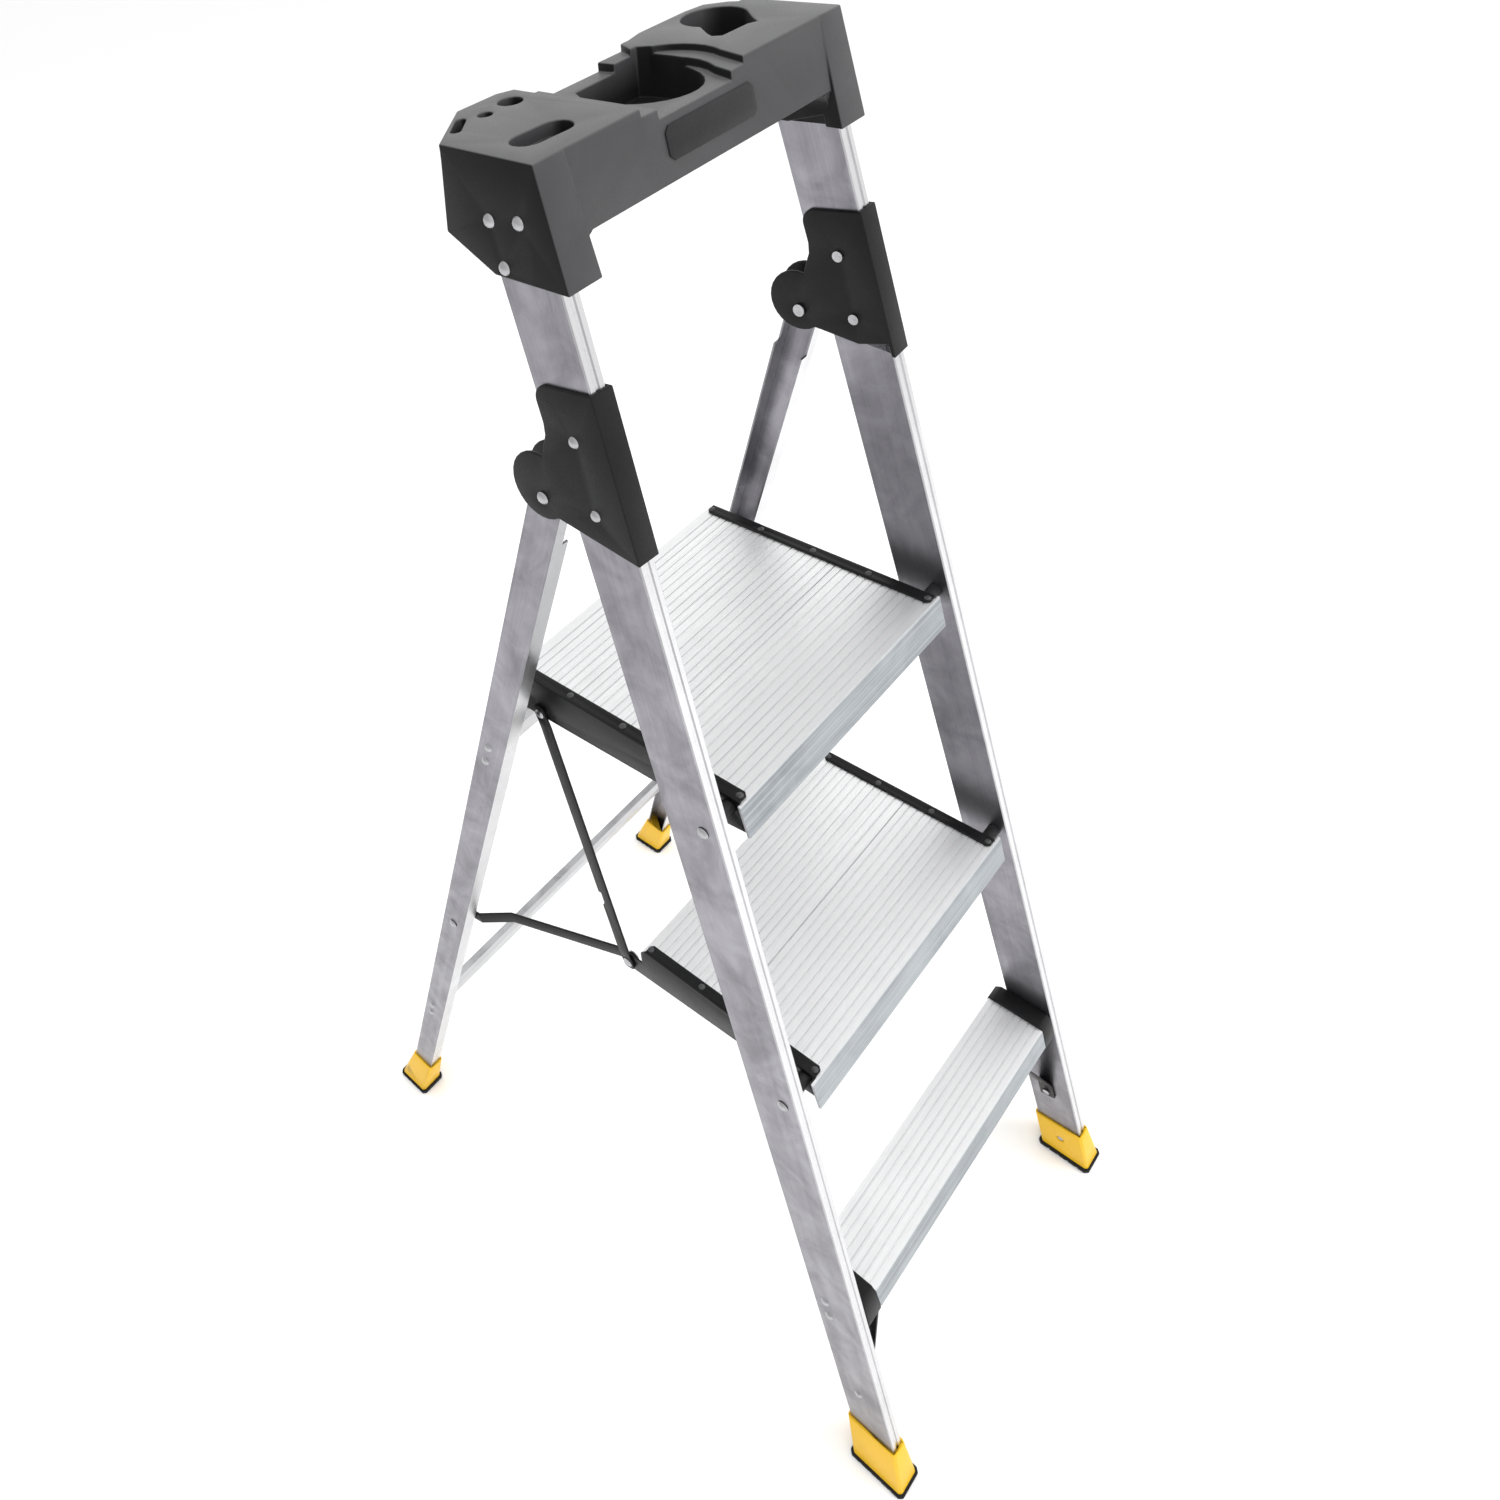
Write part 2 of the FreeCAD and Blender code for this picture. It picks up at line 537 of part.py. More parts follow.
# Lower platform: two planks; its brackets end in round ears that carry the strut pins.
LOWER_FRONT = front_y(LOWER_Z)
LOWER_REAR = LOWER_FRONT + dim("LowerDepth")
LOWER_JOINT = LOWER_FRONT + 98.5
HALF_L = dim("LowerHalf")
LOWER_SCREWS = screw_row(LOWER_FRONT + 7.0, LOWER_REAR - 9.0, 4, HALF_L)
inside = HALF_L - dim("BracketGauge")
plank("lower_plank_front", LOWER_FRONT, LOWER_JOINT, LOWER_Z, dim("NoseDepth"), inside, LOWER_SCREWS,
      dim("NoseLower"))
plank("lower_plank_rear", LOWER_JOINT + PLANK_GAP, LOWER_REAR - 3.0, LOWER_Z, 0, inside, LOWER_SCREWS)

for side, tag in SIDES:
    low = LOWER_Z - dim("NoseDepth")
    ear = arc_points(STRUT_FOOT.y, STRUT_FOOT.z, 12.0, -100, 80, 12)
    outline = [(front_y(LOWER_Z) + 3.3, LOWER_Z + 2), (front_y(low) + 3.3, low), (LOWER_FRONT + 16, low - 3)]
    outline += ear + [(LOWER_REAR, LOWER_Z - 24), (LOWER_REAR, LOWER_Z - 5), (LOWER_REAR - 6, LOWER_Z + 2)]
    pins = [(LOWER_PIVOT.y, LOWER_PIVOT.z, FIT_HOLE), (STRUT_FOOT.y, STRUT_FOOT.z, PIN)]
    bracket("lower_bracket_" + tag, side, HALF_L, outline, LOWER_Z, LOWER_FRONT + 2.8, LOWER_REAR - 6,
            LOWER_SCREWS, pins)


def screws(label, rows, z):
    """Low round-headed screws through the flange into the plank."""
    seat = z + dim("BracketGauge")
    places = [V(s * sx, sy, seat) for s, _ in SIDES for sx, sy in rows]
    group(label, [rivet(place, Z, dim("ScrewShank"), 6.0, 3.2, 1.5) for place in places])


screws("upper_platform_screws", UPPER_SCREWS, UPPER_Z)
screws("lower_platform_screws", LOWER_SCREWS, LOWER_Z)


# Pivot rivets of the platforms run through the rail, a spacer tube and the bracket.
def rail_pivot(label, centre, half):
    outer = x_of(RAIL[1], 1, 0, centre.y, centre.z) + 0.5
    inner = half - dim("BracketGauge") - 0.4
    group(label + "_pivot_rivets", [cross_pin(s, centre, outer, inner, 5.6, 2.6, 6.4, 2.0) for s, _ in SIDES])
    tube_out = x_of(RAIL[1], 1, -RAIL_IN, centre.y, centre.z) - 0.5
    tubes = []
    for s, _ in SIDES:
        start = V(s * (half + 0.3), centre.y, centre.z)
        ring = Part.makeCylinder(6.5, tube_out - half - 0.3, start, X * s)
        tubes.append(ring.cut(Part.makeCylinder(PIN + 0.05, 60, start - X * s * 5, X * s)))
    group(label + "_pivot_spacers", tubes)


rail_pivot("upper", UPPER_PIVOT, HALF_U)
rail_pivot("lower", LOWER_PIVOT, HALF_L)

# ---- bottom step ----------------------------------------------------------
STEP_FRONT = front_y(STEP_Z)
STEP_REAR = STEP_FRONT + dim("StepDepth")
body = new_body("bottom_step")
pad(body, upright(), [tread_outline(STEP_FRONT, STEP_REAR, STEP_Z, dim("StepNose"), 24.0)],
    "2 * Dims.StepHalf", "extrusion", both=True)

for side, tag in SIDES:
    body = new_body("step_end_cap_" + tag)
    low = STEP_Z - 54.0
    outline = [(STEP_FRONT + 5, STEP_Z + 5), (STEP_FRONT - 0.5, STEP_Z - 1), (front_y(STEP_Z - 29), STEP_Z - 29),
               (front_y(low) + 14, low), (STEP_REAR - 22, low), (STEP_REAR + 1.5, STEP_Z - 26),
               (STEP_REAR + 1.5, STEP_Z - 1), (STEP_REAR - 5, STEP_Z + 5)]
    inner_x = dim("StepHalf")
    start = inner_x if side > 0 else -inner_x - 30.0
    pad(body, upright(start), [outline], 30.0, "block")
    rail_side = RAIL[side].multiply(upright(side * (20.0 - RAIL_IN - 0.35)))
    pocket(body, rail_side, [rect(-80, 160, 180, 420)], 40.0, "rail_side")
    hollow = soft_rect(STEP_FRONT + 8, STEP_REAR - 7, STEP_Z - 20, STEP_Z - 8, 2.0)
    pocket(body, upright(side * (inner_x + 2)), [hollow], 10.0, "core")
    rivet_holes = [(d, z, SHANK) for d, z in STEP_RIVETS]
    pocket(body, RAIL[side].multiply(upright(-side * 20.0)), rivet_holes, 30, "rivet_holes")

group("step_rivets", [rivet(on_rail(s, d, z), across(RAIL[s], s), SHANK, 24.0, 4.6, 2.2)
                      for s, _ in SIDES for d, z in STEP_RIVETS])

# Knee braces: bent straps from under the step down to the rails.
for side, tag in SIDES:
    inner = x_of(RAIL[1], 1, -RAIL_IN, on_rail(1, *KNEE_RIVET).y, on_rail(1, *KNEE_RIVET).z)
    tan_splay = math.tan(math.radians(dim("FrontSplay")))
    t = GAUGE
    top_z = local(FRONT_PLANE, V(0, front_y(STEP_Z) + 30, STEP_Z - 8)).z
    z_hi, z_lo, z_bend = top_z, KNEE_RIVET[1] - 11.0, KNEE_RIVET[1] + 14.0
    x_lo = inner - 0.5 + tan_splay * (KNEE_RIVET[1] - z_lo)
    x_bend = inner - 0.5 - tan_splay * (z_bend - KNEE_RIVET[1])
    strap = [(side * x_lo, z_lo), (side * x_bend, z_bend), (side * 131.0, z_hi), (side * 127.5, z_hi),
             (side * (x_bend - t), z_bend - 0.6), (side * (x_lo - t), z_lo)]
    body = new_body("knee_brace_" + tag)
    pad(body, FRONT_PLANE.multiply(facing(KNEE_RIVET[0])), [strap], 18.0, "strap", both=True)
    mid_y = FRONT_PLANE.multVec(V(0, KNEE_RIVET[0], z_hi)).y
    under = flat(STEP_Z - dim("DeckGauge") - 8.0)
    pad(body, under, [rect(side * 112, side * 134, mid_y - 9, mid_y + 9)], 8.0, "head")
    pocket(body, under, [rect(side * 100, side * 126, mid_y - 12, mid_y + 12)], 11.0, "head_step")
    rivet_hole = (KNEE_RIVET[0], KNEE_RIVET[1], SHANK)
    pocket(body, RAIL[side].multiply(upright(-side * RAIL_IN)), [rivet_hole], 20, "rivet_hole")
group("knee_brace_rivets", [rivet(on_rail(s, KNEE_RIVET[0], KNEE_RIVET[1]), across(RAIL[s], s), SHANK,
                                  RAIL_IN + GAUGE + 1.0, 4.4, 2.0, 4.0, 1.4) for s, _ in SIDES])


# ---- struts between the platforms ------------------------------------------
def band(path, t):
    """Outline of a bent strip of thickness t around a path of (along, across) points."""
    upper = [(u, x + t / 2) for u, x in path]
    lower = [(u, x - t / 2) for u, x in reversed(path)]
    return upper + lower


STRUT_VECTOR = STRUT_FOOT - STRUT_TOP
STRUT_LONG = STRUT_VECTOR.Length
STRUT_DIR = V(STRUT_VECTOR).normalize()
UPPER_SEAT = HALF_U + 0.5 + GAUGE / 2
LOWER_SEAT = HALF_L + 0.5 + GAUGE / 2
for side, tag in SIDES:
    frame = basis(STRUT_TOP, STRUT_DIR, X, STRUT_DIR.cross(X))
    path = [(-9.0, side * UPPER_SEAT), (16.0, side * UPPER_SEAT), (STRUT_LONG - 18.0, side * LOWER_SEAT),
            (STRUT_LONG + 9.0, side * LOWER_SEAT)]
    outline = band(path, GAUGE)
    body = new_body("strut_" + tag)
    pad(body, frame, [outline], "Dims.StrutWidth", "strip", both=True)
    round_edges(body, 5.0, "ends", lambda e: abs(e.Length - GAUGE) < 0.01
                and abs(abs(e.tangentAt(e.FirstParameter).x) - 1) < 0.001)
    plane = basis(STRUT_TOP, STRUT_DIR, X.cross(STRUT_DIR), X)
    edge = dim("StrutWidth") / 2
    notch = [(STRUT_LONG * 0.70, edge + 1), (STRUT_LONG * 0.70, edge - 3.5), (STRUT_LONG * 0.74, edge - 3.5),
             (STRUT_LONG * 0.755, edge - 1.0), (STRUT_LONG * 0.755, edge + 1)]
    pocket(body, plane, [notch], 400, "latch_notch")
    pocket(body, plane, [(0.0, 0.0, STRUT_HOLE + dim("RunFit")), (STRUT_LONG, 0.0, FIT_HOLE)], 400, "pin_holes")

group("strut_top_pins", [cross_pin(s, STRUT_TOP, HALF_U + GAUGE + 0.9, HALF_U - dim("BracketGauge"), 5.0, 1.4,
                                   5.2, 1.6, STRUT_HOLE) for s, _ in SIDES])
HOOK_GAP = 0.5
HOOK_OUT = HALF_L - dim("BracketGauge") - HOOK_GAP
group("strut_foot_pins", [cross_pin(s, STRUT_FOOT, HALF_L + GAUGE + 0.9, HOOK_OUT - GAUGE - HOOK_GAP, 5.6, 1.4,
                                    6.6, 2.0) for s, _ in SIDES])

# ---- tie bars: pinned to the rear legs, hooked over the strut foot pins ------
TIE_VECTOR = STRUT_FOOT - TIE
TIE_LONG = TIE_VECTOR.Length
TIE_DIR = V(TIE_VECTOR).normalize()
LIP_X = x_of(LEG[1], 1, -dim("LegWidth"), TIE.y - 10, TIE.z + 10)
TIE_SEAT = LIP_X - 2.6 - GAUGE / 2
HOOK_SEAT = HOOK_OUT - GAUGE / 2
EXIT = math.radians(56.0)
for side, tag in SIDES:
    frame = basis(TIE, TIE_DIR, X, TIE_DIR.cross(X))
    path = [(-9.0, side * TIE_SEAT), (26.0, side * TIE_SEAT), (62.0, side * (TIE_SEAT - 20.0)),
            (TIE_LONG - 18.0, side * HOOK_SEAT), (TIE_LONG, side * HOOK_SEAT)]
    body = new_body("tie_bar_" + tag)
    pad(body, frame, [band(path, GAUGE)], "Dims.StrutWidth", "strip", both=True)
    round_edges(body, 5.0, "end", lambda e: abs(e.Length - GAUGE) < 0.01
                and abs(abs(e.tangentAt(e.FirstParameter).x) - 1) < 0.001 and e.Vertexes[0].Point.y > TIE.y)
    pad(body, upright(side * HOOK_SEAT), [(STRUT_FOOT.y, STRUT_FOOT.z, 11.0)], GAUGE, "hook", both=True)
    c, s = math.cos(EXIT), math.sin(EXIT)
    jaw = PIN + 0.4
    mouth = [(-s * jaw, c * jaw), (s * jaw, -c * jaw), (s * (jaw + 3) + 20 * c, -c * (jaw + 3) + 20 * s),
             (-s * (jaw + 3) + 20 * c, c * (jaw + 3) + 20 * s)]
    mouth = [(STRUT_FOOT.y + y, STRUT_FOOT.z + z) for y, z in mouth]
    pocket(body, upright(side * HOOK_SEAT), [mouth], 20, "jaw")
    pocket(body, upright(side * HOOK_SEAT), [(STRUT_FOOT.y, STRUT_FOOT.z, jaw)], 20, "jaw_seat")
    pocket(body, upright(side * TIE_SEAT), [(TIE.y, TIE.z, FIT_HOLE)], 20, "pin_hole")
TIE_OUT = x_of(LEG[1], 1, 0, TIE.y, TIE.z) + 0.6
group("tie_pivot_rivets", [cross_pin(s, TIE, TIE_OUT, TIE_SEAT - GAUGE / 2 - 0.5, 5.2, 2.4, 5.6, 1.6)
                           for s, _ in SIDES])

# ---- top cap ----------------------------------------------------------------
CAP_Z = dim("CapTop")
CAP_FRONT = -20.0
BEAM_LOW = CAP_Z - 50.0
MID_DROP = 11.0
body = new_body("top_cap")
deck = [(-157, CAP_FRONT), (-157, 61), (-109, 96), (-74, 95), (-58, 87), (-50, 82), (46, 82),
        (63, 86), (116, 86), (134, 83), (146, 68), (152, 50), (157, 22), (157, CAP_FRONT)]
pad(body, flat(BEAM_LOW), [deck], CAP_Z - BEAM_LOW, "beam")
cheek = [(61, CAP_Z), (CAP_FRONT, CAP_Z), (-41, CAP_Z - 76), (24, CAP_Z - 76), (66, CAP_Z - 56)]
for side, tag in SIDES:
    pad(body, upright(side * 150.0), [cheek], 38.0, "cheek_" + tag, both=True)
front_fill = [(CAP_FRONT, CAP_Z), (CAP_FRONT - 11, BEAM_LOW), (CAP_FRONT + 2, BEAM_LOW), (CAP_FRONT + 2, CAP_Z)]
pad(body, upright(), [front_fill], 300.0, "front_face", both=True)
for side, tag in SIDES:
    bends = [math.radians(a) for a in (0, 22.5, 45, 67.5, 90)]
    web = [(side * (117 + 14 * math.sin(a)), BEAM_LOW - 14 + 14 * math.cos(a)) for a in bends]
    web += [(side * 134, BEAM_LOW - 14), (side * 134, BEAM_LOW + 4), (side * 117, BEAM_LOW + 4)]
    pad(body, facing(-12.0), [web], 17.0, "gusset_" + tag)
for side, tag in SIDES:
    frame = RAIL[side]
    pocket(body, frame.multiply(upright(side * (dim("CapWall") + 20))), [rect(-80, 160, 1330, 1520)], 40.0,
           "outer_face_" + tag)
    pocket(body, frame.multiply(flat(dim("RailTop"))), [rect(0, -side * RAIL_IN, 0, dim("RailDepth"))], 120.0,
           "socket_" + tag, both=False)
    pocket(body, frame.multiply(upright()), [(d, z, BIG_SHANK) for d, z in CAP_RIVETS], 70, "rivets_" + tag)
    pocket(body, frame.multiply(upright(-side * (RAIL_IN + 7.0 + 15.0))), [rect(3, 130, 1330, 1387)], 30.0,
           "knee_room_" + tag)
pocket(body, flat(BEAM_LOW + 40.0), [rect(-142, -62, -10, 60)], 41.0, "left_core", both=False)
low_cores = [rect(-54, 58, -18, 72), rect(68, 128, -10, 74)]
pocket(body, flat(BEAM_LOW + 12.0), low_cores, 13.0, "low_cores", both=False)


def level(points, depth, name):
    """Lower a patch of the deck by depth."""
    pocket(body, flat(CAP_Z), [points], 2 * depth, name)


bow_outer = [(42, 90)] + arc_points(8, 24, 46, 62, -28, 8) + [(36, -40)]
bow_inner = [(12, 90)] + arc_points(-6, 24, 48, 66, -36, 8) + [(20, -44)]
level([(-62, 100), (-62, -40)] + bow_outer[::-1], 5.0, "shelf")
level([(-47, 100), (-47, -40)] + bow_inner[::-1], MID_DROP, "well")
tray = [(2.5 + 39.5 * math.cos(math.radians(a)), 38 + 48.5 * math.sin(math.radians(a)))
        for a in range(-180, 1, 12)]
tray += [(40.5, 58), (37, 67), (-27, 67), (-34, 55)]
pocket(body, flat(CAP_Z), [tray], 70.0, "tray")
cup = arc_points(111, 55, 24.5, -35, 195, 16) + [(76, 34), (72, 27), (75, 21), (103, 20), (110, 16), (118, 27)]
pocket(body, flat(CAP_Z), [cup], 66.0, "cup")
pocket(body, flat(CAP_Z), [slot(-116.5, 11.5, 46, 22, -4)], 40.0, "long_slot")
pocket(body, flat(CAP_Z), [slot(-128, 74, 26, 7, 37)], 60.0, "corner_slot")
pocket(body, flat(CAP_Z), [(-106.0, 72.0, 5.0), (-81.0, 74.0, 8.5)], 120.0, "tool_holes")
group("cap_rivets", [rivet(on_rail(s, d, z, dim("CapWall")), across(RAIL[s], s), BIG_SHANK,
                           RAIL_IN + dim("CapWall") + 5.0, 4.8, 2.6) for s, _ in SIDES for d, z in CAP_RIVETS])
body = new_body("cap_plate")
lean_cap = math.atan2(11.0, 50.0)
plate_frame = basis(V(0, CAP_FRONT - 27.0 * 11.0 / 50.0, CAP_Z - 27.0), X,
                    V(0, math.sin(lean_cap), math.cos(lean_cap)), V(0, -math.cos(lean_cap), math.sin(lean_cap)))
pad(body, plate_frame, [soft_rect(-46, 46, -11, 11, 4.0)], 1.2, "plate")

# ---- check and export --------------------------------------------------------
doc.recompute()
items = [o for o in doc.Objects if o.TypeId in ("PartDesign::Body", "Part::Feature") and o.getParent() is None]
for item in items:
    bad = [word for word in item.State if word in ("Invalid", "Error")]
    if bad or item.Shape.isNull() or not item.Shape.isValid():
        raise RuntimeError("bad sub-part " + item.Label)
for item in doc.Objects:
    if "Invalid" in item.State or "Error" in item.State:
        raise RuntimeError("bad feature " + item.Label)
for item in items:
    item.Shape.exportStep("parts/%s.step" % item.Label)
    box = item.Shape.BoundBox
    print("%-24s solids %d  x %.1f..%.1f  y %.1f..%.1f  z %.1f..%.1f" % (
        item.Label, len(item.Shape.Solids), box.XMin, box.XMax, box.YMin, box.YMax, box.ZMin, box.ZMax))
print("sub-parts", len(items))
print("joint points", HINGE, UPPER_PIVOT, LOWER_PIVOT, STRUT_TOP, STRUT_FOOT, TIE)
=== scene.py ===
import json
import math

import bmesh
import bpy
from mathutils import Matrix, Vector

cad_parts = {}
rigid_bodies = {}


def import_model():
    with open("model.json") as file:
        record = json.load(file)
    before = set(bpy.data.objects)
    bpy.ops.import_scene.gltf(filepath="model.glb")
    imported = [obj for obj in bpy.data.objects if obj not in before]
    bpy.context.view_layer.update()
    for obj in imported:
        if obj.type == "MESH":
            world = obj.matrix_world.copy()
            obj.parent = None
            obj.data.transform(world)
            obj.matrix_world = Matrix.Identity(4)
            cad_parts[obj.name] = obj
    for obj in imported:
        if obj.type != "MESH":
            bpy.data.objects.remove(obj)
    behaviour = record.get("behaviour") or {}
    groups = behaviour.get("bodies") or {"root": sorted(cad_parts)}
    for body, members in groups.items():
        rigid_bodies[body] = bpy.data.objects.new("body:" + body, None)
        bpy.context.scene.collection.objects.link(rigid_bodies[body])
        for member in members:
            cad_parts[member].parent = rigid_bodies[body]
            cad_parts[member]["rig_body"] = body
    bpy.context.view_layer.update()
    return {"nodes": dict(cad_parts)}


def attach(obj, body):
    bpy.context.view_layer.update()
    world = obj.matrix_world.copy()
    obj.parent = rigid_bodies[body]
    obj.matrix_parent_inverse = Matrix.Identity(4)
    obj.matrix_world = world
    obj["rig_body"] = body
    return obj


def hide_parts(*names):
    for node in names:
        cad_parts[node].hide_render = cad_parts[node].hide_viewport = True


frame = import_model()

NODES = frame["nodes"]
SIDES = ("left", "right")

# How the posts lean and splay, in degrees, so that their grain runs along them.
RAIL_LEAN = 15.5
RAIL_SPLAY = 3.25
LEG_LEAN = 17.6
LEG_SPLAY = 5.7

# Colours, linear.
# The cap colours are painted light and shade on one grey moulding: lightest on the tops, painted darker on
# the front, near black on the ends.
CAP_LIT_TOP = (0.092, 0.0925, 0.094)
CAP_FRONT_SHADE = (0.050, 0.0495, 0.052)
CAP_END_SHADE = (0.0085, 0.0085, 0.009)
# The pocket colour below is painted shade.
CAP_POCKET_SHADE = (0.012, 0.012, 0.0125)
WEB = (0.285, 0.278, 0.303)
# The front-face colours of the rails, legs and braces are painted light: the same metal as the web, painted
# lighter as lit faces.
PAINTED_LIT_FRONT = (0.70, 0.70, 0.71)
BRACE_WEB = (0.46, 0.46, 0.475)
BRACE_PAINTED_LIT_FRONT = (0.58, 0.58, 0.59)
TREAD_DULL = (0.92, 0.924, 0.928)
TREAD_CLEAN = (0.985, 0.988, 0.99)
# The nosing colours are painted shade: the tread metal painted darker on the front faces.
NOSE_SHADE_DULL = (0.30, 0.322, 0.342)
NOSE_SHADE_CLEAN = (0.45, 0.474, 0.492)
BLACK = (0.0065, 0.0065, 0.007)
BLACK_PAINT = (0.006, 0.006, 0.0065)
PLATE_GREY = (0.018, 0.018, 0.019)
YELLOW = (0.78, 0.46, 0.010)
RUBBER_BLACK = (0.010, 0.010, 0.0105)
RIVET_GREY = (0.46, 0.46, 0.475)
SCREW_GREY = (0.045, 0.045, 0.047)
SPACER_BLACK = (0.02, 0.02, 0.021)
FLOOR_WHITE = (0.95, 0.95, 0.95)

# Cap zones, in metres: the pockets lie under the deck, between the front and rear walls, and are painted
# near black there as painted shade, from the pocket top down to full shade.
POCKET_TOP = 1.391
POCKET_SHADE_FULL = 1.372
FRONT_WALL = (-0.0135, -0.009)
REAR_WALL = (0.073, 0.070)

# Noise scales, in cycles per metre.
GRAIN = 900.0
CAP_GRAIN = 800.0
SLOW_TONE = 14.0

SHARP_ANGLE = math.radians(28.0)
SMOOTH_ANGLE = math.radians(32.0)
FLAT_ANGLE = math.radians(1.0)
WELD = 2e-6


# ---- material helpers -------------------------------------------------------
def material(name, color, roughness, metallic=0.0, **sockets):
    """A principled material; returns it with its node tree and shader."""
    mat = bpy.data.materials.new(name)
    mat.use_nodes = True
    tree = mat.node_tree
    shader = tree.nodes["Principled BSDF"]
    shader.inputs["Base Color"].default_value = (*color, 1.0)
    shader.inputs["Roughness"].default_value = roughness
    shader.inputs["Metallic"].default_value = metallic
    for key, value in sockets.items():
        shader.inputs[key.replace("_", " ")].default_value = value
    return mat, tree, shader


def coords(tree, rotation=(0, 0, 0), scale=(1, 1, 1)):
    """Object coordinates, turned, with the given number of cycles per metre on each axis."""
    source = tree.nodes.new("ShaderNodeTexCoord")
    mapping = tree.nodes.new("ShaderNodeMapping")
    mapping.vector_type = "TEXTURE"
    mapping.inputs["Rotation"].default_value = rotation
    mapping.inputs["Scale"].default_value = tuple(1.0 / s for s in scale)
    tree.links.new(source.outputs["Object"], mapping.inputs["Vector"])
    return mapping.outputs["Vector"]


def noise(tree, vector, scale, detail, rough, distort=0.0):
    """Noise value, about 0.35 to 0.65."""
    tex = tree.nodes.new("ShaderNodeTexNoise")
    tex.inputs["Scale"].default_value = scale
    tex.inputs["Detail"].default_value = detail
    tex.inputs["Roughness"].default_value = rough
    tex.inputs["Distortion"].default_value = distort
    tree.links.new(vector, tex.inputs["Vector"])
    return tex.outputs["Fac"]


def remap(tree, value, low, high, out_low, out_high):
    """Straight-line change of range, held at both ends."""
    node = tree.nodes.new("ShaderNodeMapRange")
    node.inputs["From Min"].default_value = low
    node.inputs["From Max"].default_value = high
    node.inputs["To Min"].default_value = out_low
    node.inputs["To Max"].default_value = out_high
    tree.links.new(value, node.inputs["Value"])
    return node.outputs["Result"]


def calc(tree, kind, a, b=0.0):
    """One math node; a and b are sockets or numbers."""
    node = tree.nodes.new("ShaderNodeMath")
    node.operation = kind
    for socket, item in zip(node.inputs, (a, b)):
        if isinstance(item, (int, float)):
            socket.default_value = item
        else:
            tree.links.new(item, socket)
    return node.outputs[0]


def blend_color(tree, factor, low, high):
    """Mix of two colours; low and high are sockets or tuples."""
    node = tree.nodes.new("ShaderNodeMix")
    node.data_type = "RGBA"
    for socket, item in ((node.inputs[6], low), (node.inputs[7], high)):
        if isinstance(item, tuple):
            socket.default_value = (*item, 1.0)
        else:
            tree.links.new(item, socket)
    tree.links.new(factor, node.inputs[0])
    return node.outputs[2]


def bump(tree, shader, height, strength, distance):
    node = tree.nodes.new("ShaderNodeBump")
    node.inputs["Strength"].default_value = strength
    node.inputs["Distance"].default_value = distance
    tree.links.new(height, node.inputs["Height"])
    tree.links.new(node.outputs["Normal"], shader.inputs["Normal"])


def front_shading_mask(tree):
    """1 where a face looks to the front of the ladder, 0 elsewhere; it places the painted light and shade
    on front faces.
    """
    source = tree.nodes.new("ShaderNodeTexCoord")
    split = tree.nodes.new("ShaderNodeSeparateXYZ")
    tree.links.new(source.outputs["Normal"], split.inputs[0])
    return remap(tree, split.outputs["Y"], -0.55, -0.85, 0.0, 1.0)


def scaled(color, factor):
    return tuple(min(1.0, c * factor) for c in color)


# ---- materials --------------------------------------------------------------
def drawn_aluminium(name, rotation, along, web, front, web_rough, front_rough):
    """Extruded profile: streaks along its length, cloudy oxide, and painted light: the front faces are
    painted brighter than the web.
    """
    mat, tree, shader = material(name, web, web_rough, 1.0)
    fine = [GRAIN, GRAIN, GRAIN]
    fine[along] = GRAIN / 100.0
    broad = [70.0, 70.0, 70.0]
    broad[along] = 1.6
    streak = noise(tree, coords(tree, rotation, fine), 1.0, 3.0, 0.6)
    band = noise(tree, coords(tree, rotation, broad), 1.0, 4.0, 0.6)
    cloud = noise(tree, coords(tree, rotation, (24, 24, 24)), 1.0, 5.0, 0.62, 0.6)
    slow_part = calc(tree, "ADD", calc(tree, "MULTIPLY", band, 0.25), calc(tree, "MULTIPLY", cloud, 0.60))
    tone = calc(tree, "ADD", calc(tree, "MULTIPLY", streak, 0.15), slow_part)
    level = remap(tree, tone, 0.38, 0.62, 0.0, 1.0)
    face = front_shading_mask(tree)
    web_color = blend_color(tree, level, scaled(web, 0.76), scaled(web, 1.22))
    # Painted light: front faces get a lighter copy of the metal colour than the web.
    painted_lit_front_color = blend_color(tree, level, scaled(front, 0.94), front)
    tree.links.new(blend_color(tree, face, web_color, painted_lit_front_color), shader.inputs["Base Color"])
    web_gloss = remap(tree, tone, 0.36, 0.64, web_rough + 0.07, web_rough - 0.05)
    rough = calc(tree, "ADD", web_gloss, calc(tree, "MULTIPLY", face, front_rough - web_rough))
    tree.links.new(rough, shader.inputs["Roughness"])
    bump(tree, shader, streak, 0.12, 0.0003)
    return mat


